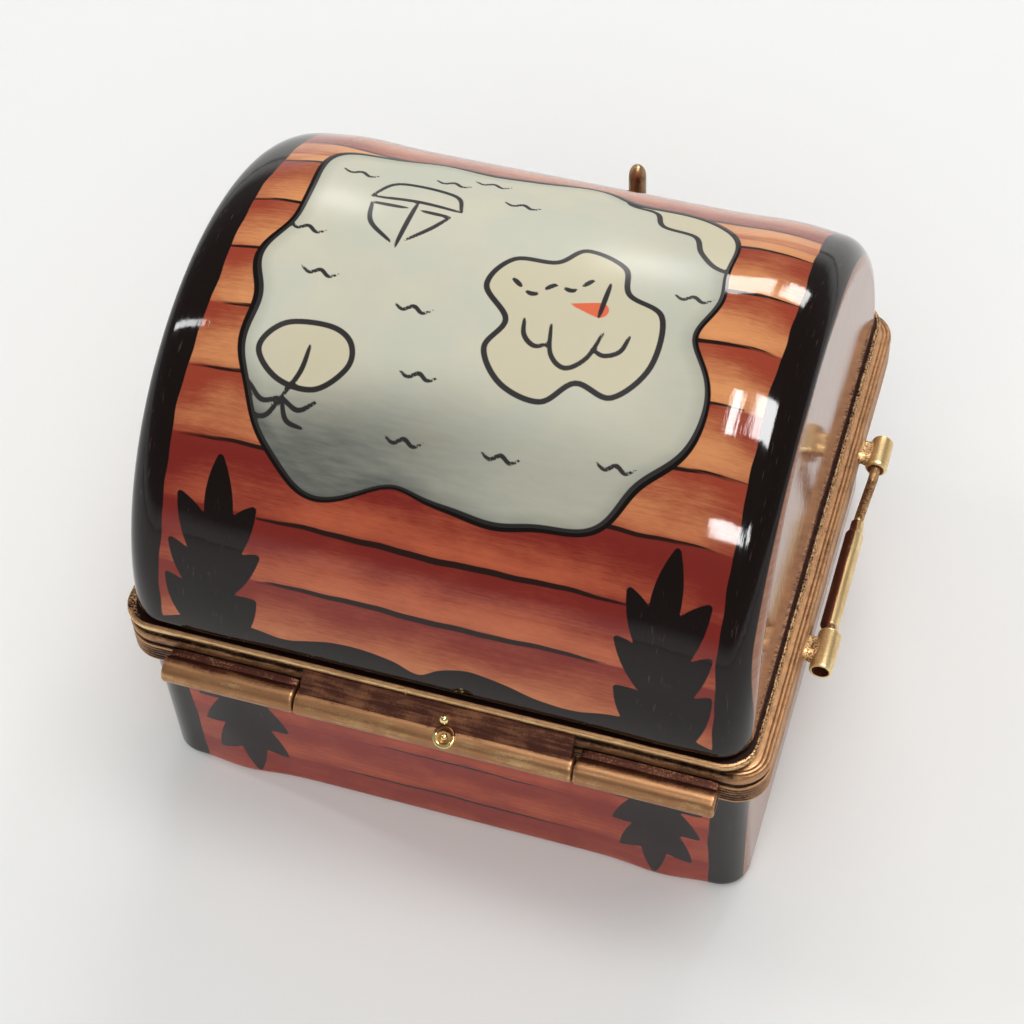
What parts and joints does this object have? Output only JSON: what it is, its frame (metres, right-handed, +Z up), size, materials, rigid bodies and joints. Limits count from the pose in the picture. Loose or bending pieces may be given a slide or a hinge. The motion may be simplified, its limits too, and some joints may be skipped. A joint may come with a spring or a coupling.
{
  "type": "treasure chest box",
  "caption": "Small hinged porcelain keepsake box shaped as a barrel-topped treasure chest, with brass rims, a back hinge, a front snap clasp and a swinging bail handle at each end.",
  "frame": {"origin": "middle of the flat foot, on the surface that the box stands on", "axes": "+Z up, +X along the length to the right end, -Y to the clasp at the front, +Y to the hinge at the back"},
  "size_m": [0.0644, 0.0626, 0.049],
  "materials": {
    "base_glaze": "glossy glaze over red-brown painted planks with black bands",
    "lid_glaze": "glossy glaze over orange and red-brown painted planks with black bands and a pale green panel",
    "rim_brass": "antiqued brass, grained flange",
    "hinge_brass": "satin antiqued brass",
    "handle_brass": "satin antiqued brass",
    "clasp_brass": "satin antiqued brass",
    "bright_brass": "bright polished brass"
  },
  "bodies": {
    "base": {"base_porcelain": "base_glaze", "base_rim": "rim_brass", "hinge_knuckle_left": "hinge_brass", "hinge_knuckle_right": "hinge_brass", "left_ear_front": "handle_brass", "left_ear_back": "handle_brass", "right_ear_front": "handle_brass", "right_ear_back": "handle_brass", "clasp_stud": "clasp_brass"},
    "lid": {"lid_porcelain": "lid_glaze", "lid_rim": "rim_brass", "hinge_leaf": "hinge_brass", "hinge_knuckle_centre": "hinge_brass", "hinge_pin": "hinge_brass", "hinge_rivet": "bright_brass", "clasp_bracket": "clasp_brass", "clasp_bar": "clasp_brass"},
    "left_handle": {"left_bail": "handle_brass", "left_grip": "handle_brass"},
    "right_handle": {"right_bail": "handle_brass", "right_grip": "handle_brass"}
  },
  "joints": [
    {"name": "lid_hinge", "type": "hinge", "parent": "base", "child": "lid", "pos_m": [0, 0.0285, 0.0209], "axis": [-1, 0, 0], "range_deg": [0, 105]},
    {"name": "left_handle_swing", "type": "hinge", "parent": "base", "child": "left_handle", "pos_m": [-0.0311, 0, 0.0211], "axis": [0, 1, 0], "range_deg": [-18, 170]},
    {"name": "right_handle_swing", "type": "hinge", "parent": "base", "child": "right_handle", "pos_m": [0.0311, 0, 0.0211], "axis": [0, -1, 0], "range_deg": [-18, 170]}
  ]
}
